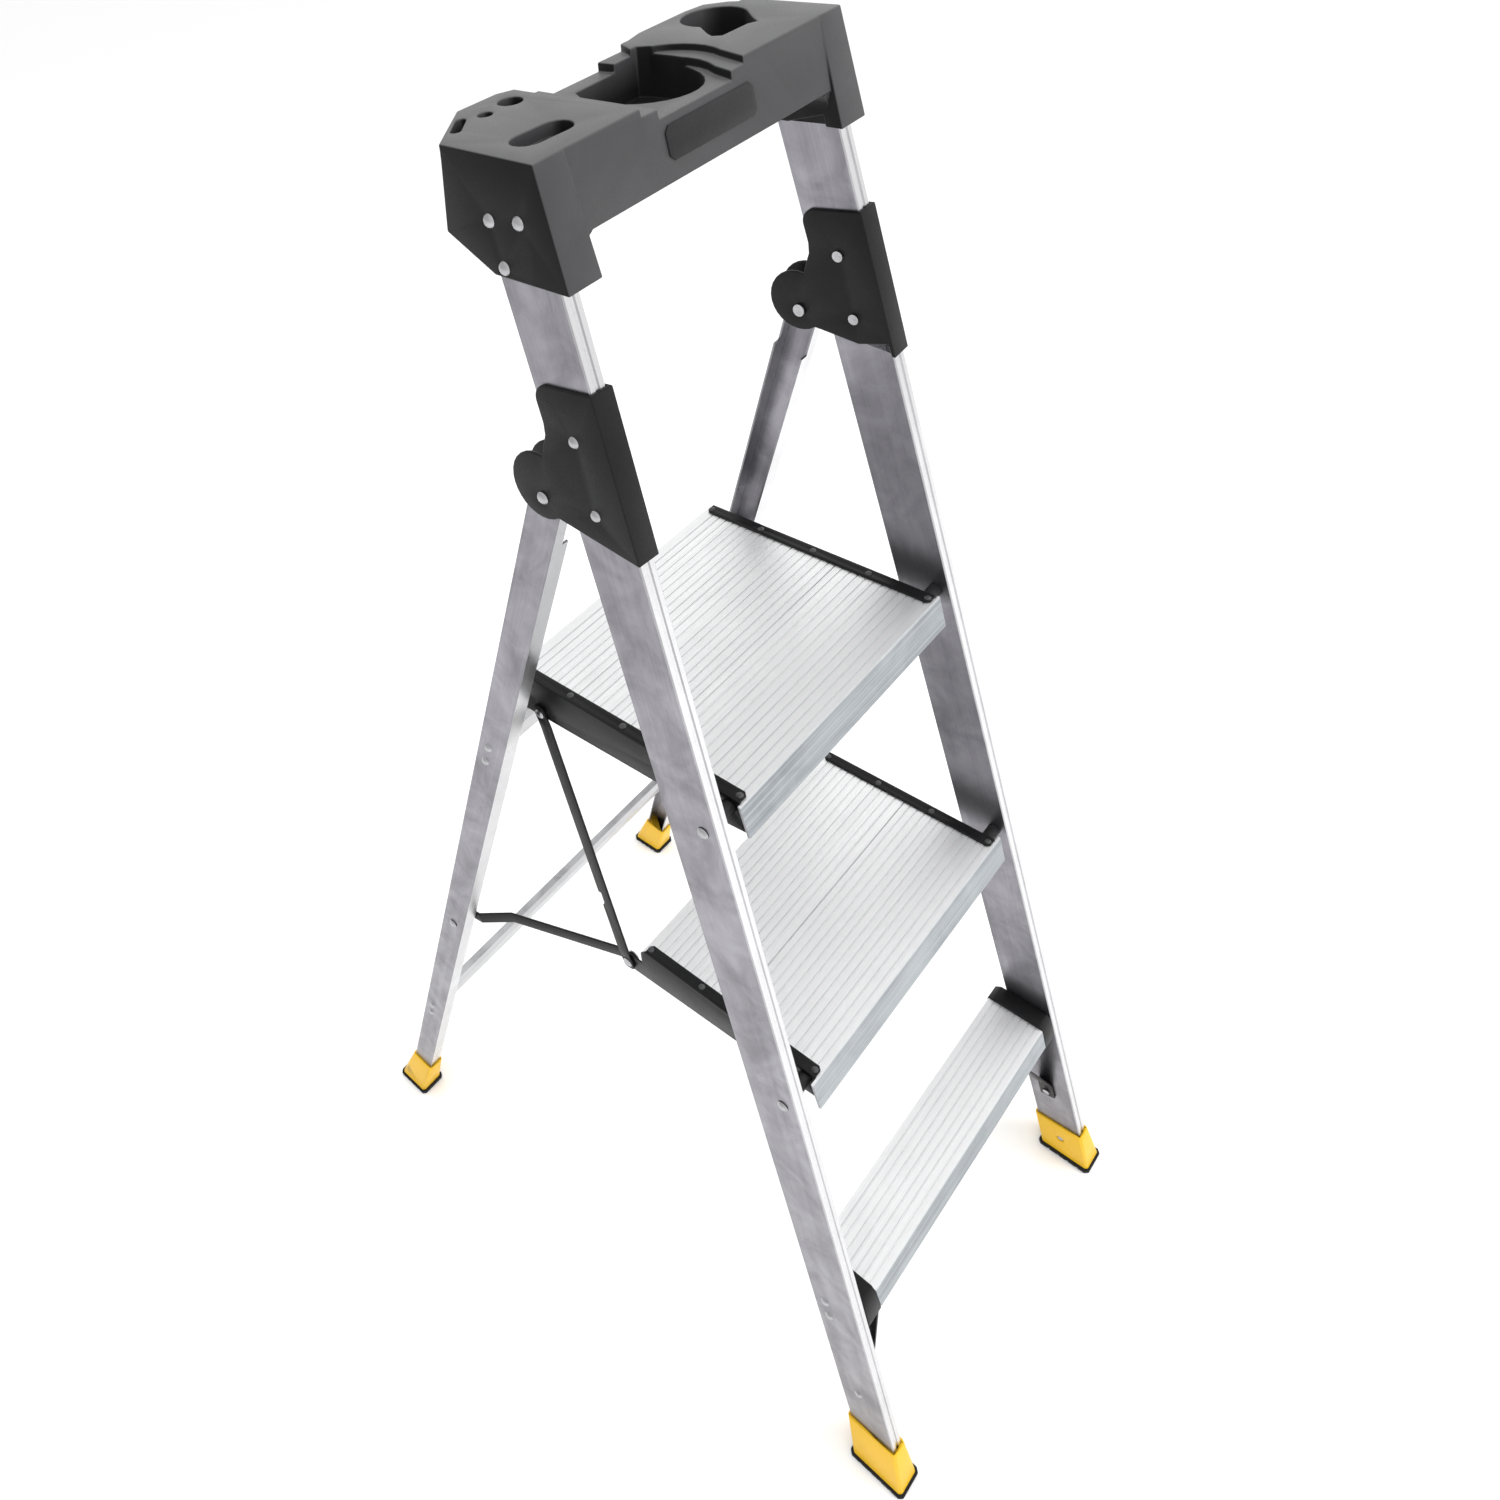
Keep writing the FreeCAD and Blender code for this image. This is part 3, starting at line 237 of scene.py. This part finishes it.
def tread_aluminium(name):
    """Satin walking surface with drawn lines along X and light scuffs; the nosing's front faces are painted
    darker as painted shade.
    """
    mat, tree, shader = material(name, TREAD_DULL, 0.5, 1.0)
    streak = noise(tree, coords(tree, scale=(3.0, GRAIN, GRAIN)), 1.0, 1.0, 0.5)
    cloud = noise(tree, coords(tree, scale=(10, 14, 14)), 1.0, 5.0, 0.65, 0.5)
    tone = calc(tree, "ADD", calc(tree, "MULTIPLY", streak, 0.55), calc(tree, "MULTIPLY", cloud, 0.45))
    level = remap(tree, tone, 0.38, 0.62, 0.0, 1.0)
    face = front_shading_mask(tree)
    top = blend_color(tree, level, TREAD_DULL, TREAD_CLEAN)
    # Painted shade: front faces of the nosing get a darker copy of the tread colour.
    shaded_nose = blend_color(tree, level, NOSE_SHADE_DULL, NOSE_SHADE_CLEAN)
    tree.links.new(blend_color(tree, face, top, shaded_nose), shader.inputs["Base Color"])
    tree.links.new(remap(tree, tone, 0.38, 0.62, 0.58, 0.44), shader.inputs["Roughness"])
    bump(tree, shader, streak, 0.06, 0.0003)
    return mat


def coated(name, color, roughness, grain, depth, spread=0.25, gloss=0.2):
    """Paint or moulded plastic: fine grain in the surface, slow changes of tone and gloss."""
    mat, tree, shader = material(name, color, roughness, 0.0, Specular_IOR_Level=gloss)
    fine = noise(tree, coords(tree), grain, 3.0, 0.6)
    slow = noise(tree, coords(tree), SLOW_TONE, 5.0, 0.6, 0.6)
    tone = calc(tree, "ADD", calc(tree, "MULTIPLY", fine, 0.35), calc(tree, "MULTIPLY", slow, 0.65))
    level = remap(tree, tone, 0.35, 0.65, 0.0, 1.0)
    color_out = blend_color(tree, level, scaled(color, 1.0 - spread), scaled(color, 1.0 + spread))
    tree.links.new(color_out, shader.inputs["Base Color"])
    rough = remap(tree, tone, 0.35, 0.65, roughness + 0.07, roughness - 0.07)
    tree.links.new(rough, shader.inputs["Roughness"])
    bump(tree, shader, fine, 0.35, depth)
    return mat


def cap_plastic(name):
    """Moulded grey with painted light and shade: palest on the tops, painted darker on the front, near
    black on the ends and in pockets as painted shade.
    """
    mat, tree, shader = material(name, CAP_LIT_TOP, 0.44, 0.0, Specular_IOR_Level=0.3)
    source = tree.nodes.new("ShaderNodeTexCoord")
    normal = tree.nodes.new("ShaderNodeSeparateXYZ")
    place = tree.nodes.new("ShaderNodeSeparateXYZ")
    tree.links.new(source.outputs["Normal"], normal.inputs[0])
    tree.links.new(source.outputs["Object"], place.inputs[0])
    # Painted light and shade by facing: tops lightest, front faces darker, end faces near black.
    lit_top_mask = remap(tree, normal.outputs["Z"], 0.35, 0.9, 0.0, 1.0)
    end_shade_mask = remap(tree, calc(tree, "ABSOLUTE", normal.outputs["X"]), 0.5, 0.9, 0.0, 1.0)
    fine = noise(tree, coords(tree), CAP_GRAIN, 3.0, 0.6)
    slow = noise(tree, coords(tree), 12.0, 5.0, 0.6, 0.6)
    level = remap(tree, slow, 0.35, 0.65, 0.88, 1.12)
    tone = blend_color(tree, lit_top_mask, CAP_FRONT_SHADE, CAP_LIT_TOP)
    tone = blend_color(tree, end_shade_mask, tone, CAP_END_SHADE)
    # Painted shade: faces below the deck and between the walls are darkened towards near black in the
    # pockets.
    depth = remap(tree, place.outputs["Z"], POCKET_TOP, POCKET_SHADE_FULL, 0.0, 1.0)
    behind_front = remap(tree, place.outputs["Y"], *FRONT_WALL, 0.0, 1.0)
    ahead_of_rear = remap(tree, place.outputs["Y"], *REAR_WALL, 0.0, 1.0)
    pocket_shade = calc(tree, "MULTIPLY", depth, calc(tree, "MULTIPLY", behind_front, ahead_of_rear))
    tone = blend_color(tree, pocket_shade, tone, CAP_POCKET_SHADE)
    mottled = tree.nodes.new("ShaderNodeVectorMath")
    mottled.operation = "SCALE"
    tree.links.new(tone, mottled.inputs[0])
    tree.links.new(level, mottled.inputs["Scale"])
    tree.links.new(mottled.outputs[0], shader.inputs["Base Color"])
    tree.links.new(remap(tree, end_shade_mask, 0.0, 1.0, 0.3, 0.12), shader.inputs["Specular IOR Level"])
    tree.links.new(remap(tree, fine, 0.35, 0.65, 0.50, 0.38), shader.inputs["Roughness"])
    bump(tree, shader, fine, 0.35, 0.0003)
    return mat


def formed_metal(name, color, roughness):
    """Rivet and pin heads: bare metal with fine tool marks."""
    mat, tree, shader = material(name, color, roughness, 1.0)
    mark = noise(tree, coords(tree), GRAIN, 4.0, 0.6)
    slow = noise(tree, coords(tree), 160.0, 3.0, 0.6)
    level = remap(tree, slow, 0.35, 0.65, 0.0, 1.0)
    tree.links.new(blend_color(tree, level, scaled(color, 0.82), color), shader.inputs["Base Color"])
    rough = remap(tree, mark, 0.3, 0.7, roughness + 0.1, roughness - 0.06)
    tree.links.new(rough, shader.inputs["Roughness"])
    bump(tree, shader, mark, 0.15, 0.0002)
    return mat


def turn(lean, splay):
    """Rotation that brings the grain of an upright material along a leaning post."""
    return (math.radians(lean), math.radians(splay), 0.0)


def post_metal(name, lean, splay, web_rough, front_rough):
    """One material for each side, because the posts splay opposite ways."""
    metals = {}
    for side, sign in (("left", 1), ("right", -1)):
        grain = turn(lean, sign * splay)
        metals[side] = drawn_aluminium(name + side, grain, 2, WEB, PAINTED_LIT_FRONT, web_rough, front_rough)
    return metals


RAIL_METAL = post_metal("rail_metal_", -RAIL_LEAN, RAIL_SPLAY, 0.36, 0.26)
LEG_METAL = post_metal("leg_metal_", LEG_LEAN, LEG_SPLAY, 0.38, 0.30)
BRACE_METAL = drawn_aluminium("brace_metal", (0, 0, 0), 0, BRACE_WEB, BRACE_PAINTED_LIT_FRONT, 0.36, 0.32)
TREAD_METAL = tread_aluminium("tread_metal")
BLACK_TEXTURE = coated("black_texture_coat", BLACK, 0.44, 700.0, 0.0005)
BLACK_COAT = coated("black_coat", BLACK_PAINT, 0.38, 520.0, 0.0003)
BLACK_MOULD = coated("black_mould", BLACK, 0.40, 600.0, 0.0003)
CAP_MOULD = cap_plastic("cap_mould")
PLATE_MOULD = coated("plate_mould", PLATE_GREY, 0.36, 500.0, 0.0002)
YELLOW_MOULD = coated("yellow_mould", YELLOW, 0.40, 500.0, 0.0003, 0.07, 0.35)
RUBBER = coated("sole_rubber", RUBBER_BLACK, 0.66, 420.0, 0.0006)
RIVET_METAL = formed_metal("rivet_head", RIVET_GREY, 0.24)
SCREW_METAL = coated("screw_coat", SCREW_GREY, 0.30, 600.0, 0.0002, 0.2, 0.5)
SPACER_METAL = coated("spacer_coat", SPACER_BLACK, 0.42, 500.0, 0.0003)


# ---- pieces -----------------------------------------------------------------
def dress(node, mat):
    """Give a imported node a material, keeping its shape."""
    NODES[node].data.materials.clear()
    NODES[node].data.materials.append(mat)


def softened(name, node, mat, width, segments=3):
    """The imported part's shape with its hard edges rounded, standing in for the plain one."""
    source = NODES[node]
    mesh = source.data.copy()
    work = bmesh.new()
    work.from_mesh(mesh)
    bmesh.ops.remove_doubles(work, verts=work.verts, dist=WELD)
    bmesh.ops.dissolve_limit(work, angle_limit=FLAT_ANGLE, verts=work.verts, edges=work.edges)
    sharp = [e for e in work.edges if len(e.link_faces) == 2 and e.calc_face_angle(0.0) > SHARP_ANGLE]
    bmesh.ops.bevel(work, geom=sharp, offset=width, offset_type="OFFSET", segments=segments, profile=0.5,
                    affect="EDGES", clamp_overlap=False, harden_normals=False)
    bmesh.ops.triangulate(work, faces=[f for f in work.faces if len(f.verts) > 4])
    work.to_mesh(mesh)
    work.free()
    mesh.shade_smooth()
    mesh.set_sharp_from_angle(angle=SMOOTH_ANGLE)
    mesh.materials.clear()
    mesh.materials.append(mat)
    piece = bpy.data.objects.new(name, mesh)
    bpy.context.scene.collection.objects.link(piece)
    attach(piece, source["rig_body"])
    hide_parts(node)


for side in SIDES:
    dress("front_rail_" + side, RAIL_METAL[side])
    dress("rear_leg_" + side, LEG_METAL[side])
for node in ("upper_cross_brace", "lower_cross_brace"):
    dress(node, BRACE_METAL)
for node in ("upper_plank_front", "upper_plank_middle", "upper_plank_rear", "lower_plank_front",
             "lower_plank_rear", "bottom_step"):
    dress(node, TREAD_METAL)
for node in ("cap_rivets", "hinge_bracket_rivets", "hinge_pins", "upper_pivot_rivets", "lower_pivot_rivets",
             "step_rivets", "knee_brace_rivets", "front_shoe_rivets", "upper_brace_rivets",
             "lower_brace_rivets", "tie_pivot_rivets", "strut_top_pins", "strut_foot_pins"):
    dress(node, RIVET_METAL)
for node in ("upper_platform_screws", "lower_platform_screws"):
    dress(node, SCREW_METAL)
for node in ("upper_pivot_spacers", "lower_pivot_spacers"):
    dress(node, SPACER_METAL)

softened("cap_moulding", "top_cap", CAP_MOULD, 0.0013, 3)
softened("cap_blank_plate", "cap_plate", PLATE_MOULD, 0.0005, 2)
for side in SIDES:
    softened("hinge_cover_" + side, "hinge_bracket_" + side, BLACK_TEXTURE, 0.0011)
    softened("step_end_moulding_" + side, "step_end_cap_" + side, BLACK_MOULD, 0.0014)
    softened("upper_side_plate_" + side, "upper_bracket_" + side, BLACK_COAT, 0.0005, 2)
    softened("lower_side_plate_" + side, "lower_bracket_" + side, BLACK_COAT, 0.0005, 2)
    softened("strut_bar_" + side, "strut_" + side, BLACK_COAT, 0.0005, 2)
    softened("hook_bar_" + side, "tie_bar_" + side, BLACK_COAT, 0.0005, 2)
    softened("knee_strap_" + side, "knee_brace_" + side, BLACK_COAT, 0.0005, 2)
    softened("front_boot_" + side, "front_shoe_" + side, YELLOW_MOULD, 0.0011)
    softened("rear_boot_" + side, "rear_shoe_" + side, YELLOW_MOULD, 0.0011)
    softened("front_tread_pad_" + side, "front_sole_" + side, RUBBER, 0.0009, 2)
    softened("rear_tread_pad_" + side, "rear_sole_" + side, RUBBER, 0.0009, 2)

# ---- stage --------------------------------------------------------------------
LIGHT_TARGET = Vector((0.0, 0.0, 0.7))
FLOOR_SIZE = 60.0
FLOOR_GAP = 0.0002

bpy.ops.mesh.primitive_plane_add(size=FLOOR_SIZE, location=(0, 0, -FLOOR_GAP))
floor = bpy.context.object
floor.name = "studio_floor"
floor.data.materials.append(material("studio_floor", FLOOR_WHITE, 0.8)[0])

bpy.context.scene.view_settings.view_transform = "Standard"


def studio_sky():
    """White surroundings, brighter to the right and front than to the left and rear."""
    world = bpy.data.worlds.new("studio")
    bpy.context.scene.world = world
    world.use_nodes = True
    tree = world.node_tree
    background = tree.nodes["Background"]
    background.inputs["Color"].default_value = (1.0, 1.0, 1.0, 1.0)
    direction = tree.nodes.new("ShaderNodeTexCoord")
    axes = tree.nodes.new("ShaderNodeSeparateXYZ")
    tree.links.new(direction.outputs["Generated"], axes.inputs[0])
    toward_front_right = calc(tree, "SUBTRACT", axes.outputs["X"], axes.outputs["Y"])
    tree.links.new(remap(tree, toward_front_right, -1.2, 1.2, 0.80, 1.24), background.inputs["Strength"])


def panel(name, place, width, height, power):
    """Soft light aimed at the middle of the ladder; it lights surfaces but isn't mirrored in them."""
    data = bpy.data.lights.new(name, "AREA")
    data.shape = "RECTANGLE"
    data.size, data.size_y, data.energy = width, height, power
    lamp = bpy.data.objects.new(name, data)
    lamp.location = place
    lamp.visible_glossy = False
    lamp.rotation_mode = "QUATERNION"
    lamp.rotation_quaternion = (LIGHT_TARGET - Vector(place)).to_track_quat("-Z", "Y")
    bpy.context.scene.collection.objects.link(lamp)


studio_sky()
panel("key_panel", (1.6, -3.2, 3.0), 2.4, 2.4, 75.0)
panel("top_panel", (-0.4, 0.6, 4.2), 3.0, 3.0, 50.0)
panel("left_panel", (-3.6, 0.4, 1.6), 1.6, 2.4, 8.0)

# ---- camera -------------------------------------------------------------------
CAMERA_PLACE = Vector((-0.5976, -0.4916, 1.6311))
HEADING = math.radians(39.0)
PITCH = math.radians(-39.0)
ROLL = math.radians(-10.6)
LENS = 27.32
SENSOR = 36.0
SHIFT = (0.149, -0.120)

ahead = Vector((math.sin(HEADING) * math.cos(PITCH), math.cos(HEADING) * math.cos(PITCH), math.sin(PITCH)))
level_right = ahead.cross(Vector((0, 0, 1))).normalized()
level_up = level_right.cross(ahead)
right = level_right * math.cos(ROLL) + level_up * math.sin(ROLL)
up = level_up * math.cos(ROLL) - level_right * math.sin(ROLL)
lens = bpy.data.cameras.new("photo_camera")
lens.sensor_width = SENSOR
lens.lens = LENS
lens.shift_x, lens.shift_y = SHIFT
lens.clip_start, lens.clip_end = 0.01, 200.0
camera = bpy.data.objects.new("photo_camera", lens)
axes = Matrix((right, up, -ahead)).transposed().to_4x4()
camera.matrix_world = Matrix.Translation(CAMERA_PLACE) @ axes
bpy.context.scene.collection.objects.link(camera)
bpy.context.scene.camera = camera
